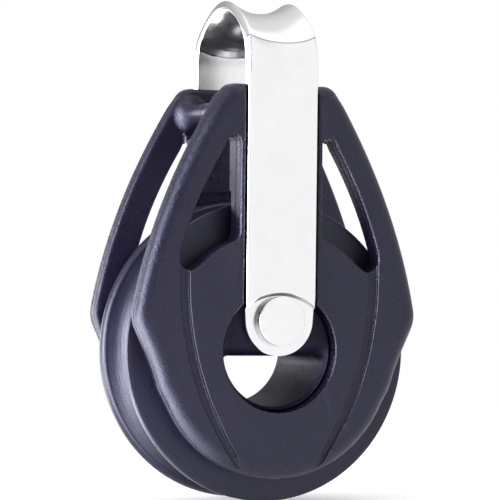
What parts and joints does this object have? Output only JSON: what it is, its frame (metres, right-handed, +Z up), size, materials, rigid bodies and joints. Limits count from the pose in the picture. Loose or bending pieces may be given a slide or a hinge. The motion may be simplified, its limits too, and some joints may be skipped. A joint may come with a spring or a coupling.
{
  "type": "single sheave block",
  "caption": "Single ball-bearing sheave block: grooved wheel with an open centre between two windowed cheeks, hung from a bent metal strap whose loop forms the head eye.",
  "frame": {"origin": "the lowest point of the strap loop's underside at its top, midway between the cheeks, where a shackle bears", "axes": "+Z up along the block from the wheel to the head eye, +Y along the wheel's axle towards the rear cheek, +X to the right seen from the front cheek"},
  "size_m": [0.0574, 0.0284, 0.0948],
  "materials": {
    "cover_nylon": "satin fine texture",
    "plate_nylon": "satin fine texture",
    "hub_nylon": "satin",
    "sheave_nylon": "smooth satin",
    "strap_steel": "satin polish",
    "pin_steel": "satin polish",
    "ball_acetal": "smooth"
  },
  "bodies": {
    "frame": {"front_cheek_cover": "cover_nylon", "rear_cheek_cover": "cover_nylon", "front_side_plate": "plate_nylon", "rear_side_plate": "plate_nylon", "front_hub_half": "hub_nylon", "rear_hub_half": "hub_nylon", "strap": "strap_steel", "head_pin": "pin_steel"},
    "sheave": {"sheave": "sheave_nylon"},
    "front_ball_row": {"front_ball_01": "ball_acetal", "front_ball_02": "ball_acetal", "front_ball_03": "ball_acetal", "front_ball_04": "ball_acetal", "front_ball_05": "ball_acetal", "front_ball_06": "ball_acetal", "front_ball_07": "ball_acetal", "front_ball_08": "ball_acetal", "front_ball_09": "ball_acetal", "front_ball_10": "ball_acetal", "front_ball_11": "ball_acetal", "front_ball_12": "ball_acetal", "front_ball_13": "ball_acetal", "front_ball_14": "ball_acetal", "front_ball_15": "ball_acetal", "front_ball_16": "ball_acetal", "front_ball_17": "ball_acetal", "front_ball_18": "ball_acetal", "front_ball_19": "ball_acetal", "front_ball_20": "ball_acetal"},
    "rear_ball_row": {"rear_ball_01": "ball_acetal", "rear_ball_02": "ball_acetal", "rear_ball_03": "ball_acetal", "rear_ball_04": "ball_acetal", "rear_ball_05": "ball_acetal", "rear_ball_06": "ball_acetal", "rear_ball_07": "ball_acetal", "rear_ball_08": "ball_acetal", "rear_ball_09": "ball_acetal", "rear_ball_10": "ball_acetal", "rear_ball_11": "ball_acetal", "rear_ball_12": "ball_acetal", "rear_ball_13": "ball_acetal", "rear_ball_14": "ball_acetal", "rear_ball_15": "ball_acetal", "rear_ball_16": "ball_acetal", "rear_ball_17": "ball_acetal", "rear_ball_18": "ball_acetal", "rear_ball_19": "ball_acetal", "rear_ball_20": "ball_acetal"}
  },
  "joints": [
    {"name": "sheave_spin", "type": "hinge", "parent": "frame", "child": "sheave", "pos_m": [0, 0, -0.062], "axis": [0, 1, 0], "continuous": true},
    {"name": "front_ball_row_spin", "type": "hinge", "parent": "frame", "child": "front_ball_row", "pos_m": [0, 0, -0.062], "axis": [0, 1, 0], "continuous": true},
    {"name": "rear_ball_row_spin", "type": "hinge", "parent": "frame", "child": "rear_ball_row", "pos_m": [0, 0, -0.062], "axis": [0, 1, 0], "continuous": true}
  ],
  "couplings": [
    {"joint": "front_ball_row_spin", "follows": "sheave_spin", "ratio": 0.5643},
    {"joint": "rear_ball_row_spin", "follows": "sheave_spin", "ratio": 0.5643}
  ]
}
